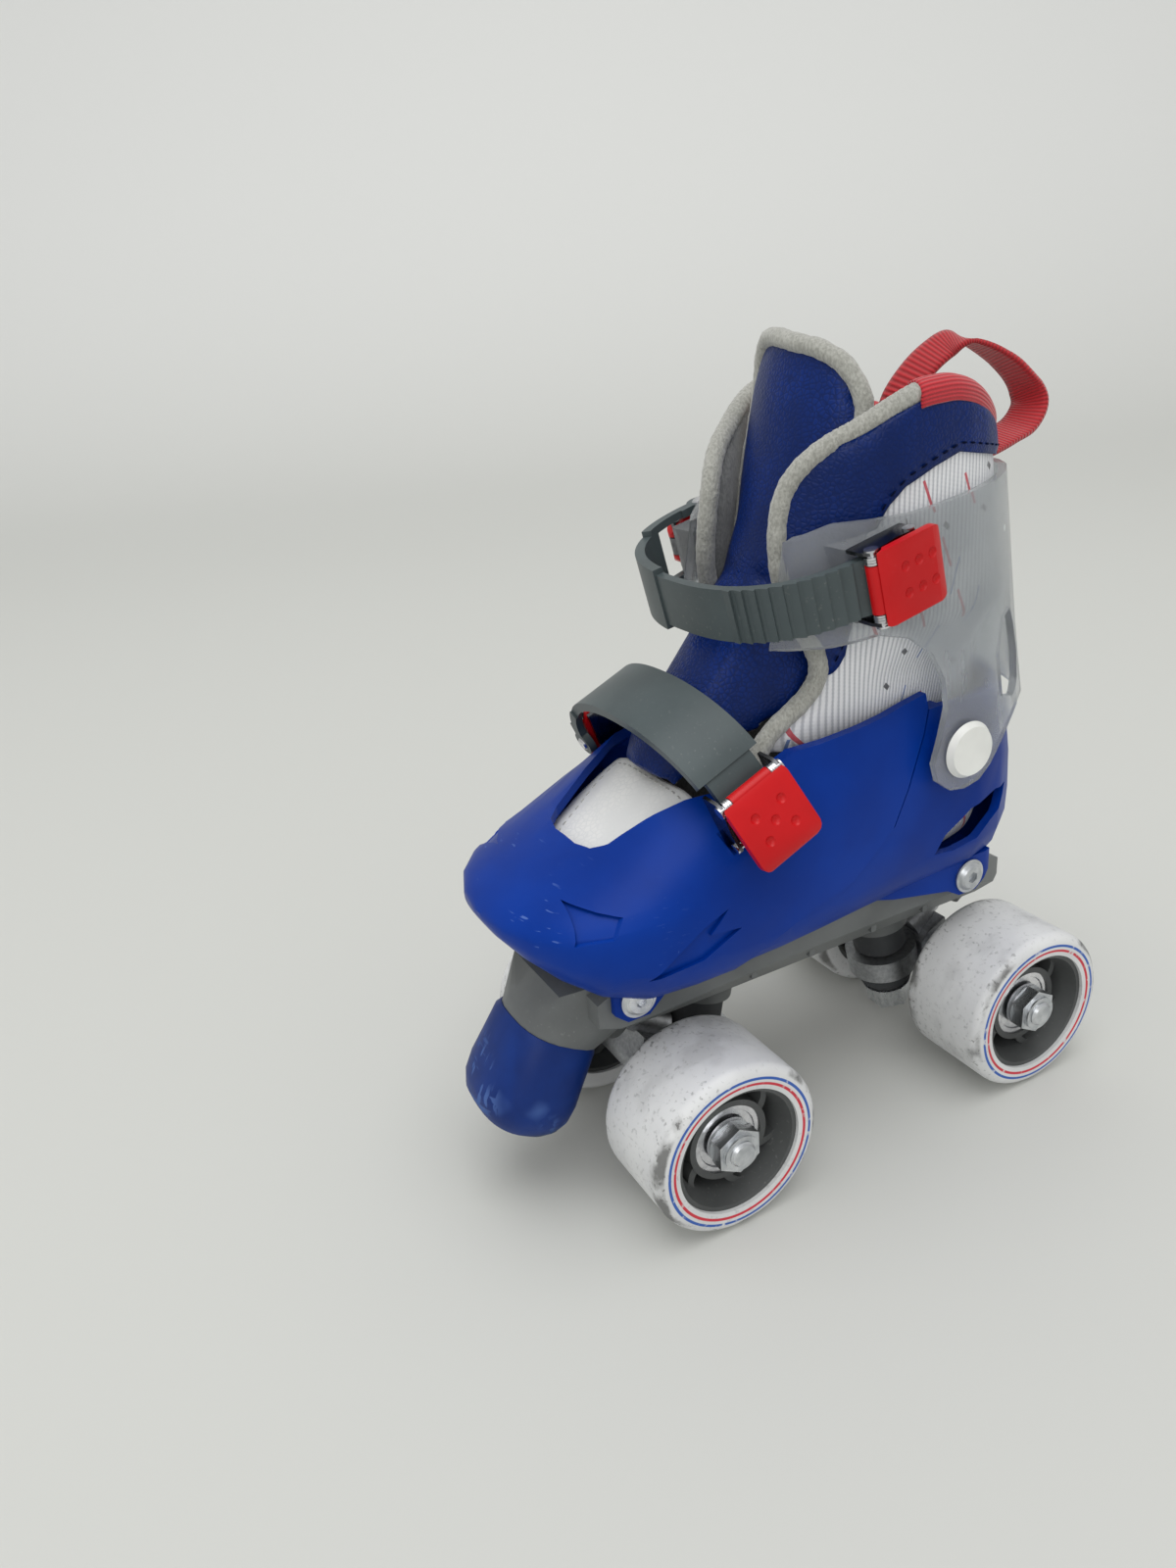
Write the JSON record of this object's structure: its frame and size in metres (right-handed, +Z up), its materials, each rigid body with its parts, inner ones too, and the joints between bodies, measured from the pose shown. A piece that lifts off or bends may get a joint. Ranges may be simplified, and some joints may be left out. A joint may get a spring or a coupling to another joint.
{
  "type": "adjustable roller skate",
  "caption": "Size-adjustable quad roller skate with sliding toe shell, hinged cuff, ratchet straps with tightening levers, steering trucks, toe stop and padded liner.",
  "frame": {"origin": "on the floor, at the middle of the overall length and width", "axes": "+Z up, -Y towards the toe, +X towards the side with the ratchet buckles"},
  "size_m": [0.11, 0.208, 0.2372],
  "materials": {
    "grey_nylon": "satin moulded",
    "blue_shell": "satin gloss",
    "zinc": "bright zinc",
    "blue_rubber": "scuffed",
    "cushion": "smooth",
    "cup": "smooth",
    "truck_metal": "cast",
    "wheel_white": "worn",
    "hub_grey": "moulded",
    "bearing_steel": "ground",
    "button_red": "moulded",
    "cuff_clear": "frosted translucent",
    "cap_white": "moulded",
    "strap_grey": "moulded",
    "buckle_metal": "black",
    "red_plastic": "moulded",
    "white_plastic": "moulded",
    "liner_cloth": "ribbed mesh",
    "tongue_vinyl": "grained vinyl",
    "patch_vinyl": "grained vinyl",
    "footbed_felt": "felt",
    "webbing_red": "woven"
  },
  "bodies": {
    "base": {"chassis": "grey_nylon", "base_shell": "blue_shell", "base_bolts": "zinc", "toe_stop": "blue_rubber", "toe_stop_bolt": "zinc", "front_kingpin": "zinc", "rear_kingpin": "zinc", "front_kingpin_nut": "zinc", "rear_kingpin_nut": "zinc", "front_cushions": "cushion", "rear_cushions": "cushion", "pivot_cups": "cup", "size_spring": "zinc", "ankle_rivets": "cap_white", "liner": "liner_cloth", "tongue": "tongue_vinyl", "toe_patch": "patch_vinyl", "footbed": "footbed_felt", "pull_loop": "webbing_red"},
    "size_button": {"size_button": "button_red"},
    "front_truck": {"front_truck": "truck_metal", "front_axle": "zinc", "front_axle_nuts": "zinc"},
    "rear_truck": {"rear_truck": "truck_metal", "rear_axle": "zinc", "rear_axle_nuts": "zinc"},
    "toe": {"toe_shell": "blue_shell", "toe_buckle": "buckle_metal", "toe_buckle_pins": "zinc", "toe_flap_springs": "zinc", "toe_lever_base": "buckle_metal"},
    "toe_strap": {"toe_strap": "strap_grey", "toe_strap_pins": "zinc"},
    "toe_flap": {"toe_flap": "red_plastic"},
    "toe_lever": {"toe_lever": "red_plastic", "toe_inlay": "white_plastic"},
    "cuff": {"cuff": "cuff_clear", "cuff_buckle": "buckle_metal", "cuff_buckle_pins": "zinc", "cuff_flap_springs": "zinc", "cuff_lever_base": "buckle_metal"},
    "cuff_strap": {"cuff_strap": "strap_grey", "cuff_strap_pins": "zinc"},
    "cuff_flap": {"cuff_flap": "red_plastic"},
    "cuff_lever": {"cuff_lever": "red_plastic", "cuff_inlay": "white_plastic"},
    "wheel_fl": {"tyre_fl": "wheel_white", "hub_fl": "hub_grey", "bearings_fl": "bearing_steel"},
    "wheel_fr": {"tyre_fr": "wheel_white", "hub_fr": "hub_grey", "bearings_fr": "bearing_steel"},
    "wheel_rl": {"tyre_rl": "wheel_white", "hub_rl": "hub_grey", "bearings_rl": "bearing_steel"},
    "wheel_rr": {"tyre_rr": "wheel_white", "hub_rr": "hub_grey", "bearings_rr": "bearing_steel"}
  },
  "joints": [
    {"name": "wheel_fl_spin", "type": "hinge", "parent": "front_truck", "child": "wheel_fl", "pos_m": [0.0375, -0.0468, 0.027], "axis": [1, 0, 0], "continuous": true},
    {"name": "wheel_fr_spin", "type": "hinge", "parent": "front_truck", "child": "wheel_fr", "pos_m": [-0.0375, -0.0468, 0.027], "axis": [1, 0, 0], "continuous": true},
    {"name": "wheel_rl_spin", "type": "hinge", "parent": "rear_truck", "child": "wheel_rl", "pos_m": [0.0375, 0.0688, 0.027], "axis": [1, 0, 0], "continuous": true},
    {"name": "wheel_rr_spin", "type": "hinge", "parent": "rear_truck", "child": "wheel_rr", "pos_m": [-0.0375, 0.0688, 0.027], "axis": [1, 0, 0], "continuous": true},
    {"name": "front_steer", "type": "hinge", "parent": "base", "child": "front_truck", "pos_m": [0, -0.029, 0.029], "axis": [0, -0.8394, 0.5435], "range_deg": [-5, 5], "stiffness_Nm_per_rad": 40, "deforming": ["front_cushions"]},
    {"name": "rear_steer", "type": "hinge", "parent": "base", "child": "rear_truck", "pos_m": [0, 0.051, 0.029], "axis": [0, 0.8394, 0.5435], "range_deg": [-5, 5], "stiffness_Nm_per_rad": 40, "deforming": ["rear_cushions"]},
    {"name": "size_slide", "type": "slide", "parent": "base", "child": "toe", "axis": [0, -1, 0], "range_m": [0, 0.018], "deforming": ["toe_patch"]},
    {"name": "size_button_pull", "type": "slide", "parent": "base", "child": "size_button", "axis": [0, 0, -1], "range_m": [0, 0.003], "stiffness_N_per_m": 600, "deforming": ["size_spring"]},
    {"name": "cuff_flex", "type": "hinge", "parent": "base", "child": "cuff", "pos_m": [0, 0.045, 0.12], "axis": [1, 0, 0], "range_deg": [0, 5], "stiffness_Nm_per_rad": 20, "deforming": ["liner"]},
    {"name": "cuff_flap_lift", "type": "hinge", "parent": "cuff", "child": "cuff_flap", "pos_m": [0.045, 0.00526, 0.17556], "axis": [0, 0.225, -0.9744], "range_deg": [0, 35], "stiffness_Nm_per_rad": 0.05},
    {"name": "toe_flap_lift", "type": "hinge", "parent": "toe", "child": "toe_flap", "pos_m": [0.0417, -0.0326, 0.12985], "axis": [0, -0.9135, -0.4067], "range_deg": [0, 35], "stiffness_Nm_per_rad": 0.05},
    {"name": "cuff_lever_open", "type": "hinge", "parent": "cuff", "child": "cuff_lever", "pos_m": [-0.0426, 0.00273, 0.17497], "axis": [0, -0.225, 0.9744], "range_deg": [0, 70]},
    {"name": "toe_lever_open", "type": "hinge", "parent": "toe", "child": "toe_lever", "pos_m": [-0.03675, -0.03372, 0.13236], "axis": [0, 0.9135, 0.4067], "range_deg": [0, 45]},
    {"name": "cuff_strap_swing", "type": "hinge", "parent": "cuff", "child": "cuff_strap", "pos_m": [-0.0408, 0.0115, 0.177], "axis": [0, 0.225, -0.9744], "range_deg": [0, 40]},
    {"name": "toe_strap_swing", "type": "hinge", "parent": "toe", "child": "toe_strap", "pos_m": [-0.0375, -0.03, 0.124], "axis": [0, -0.9135, -0.4067], "range_deg": [0, 40]}
  ]
}
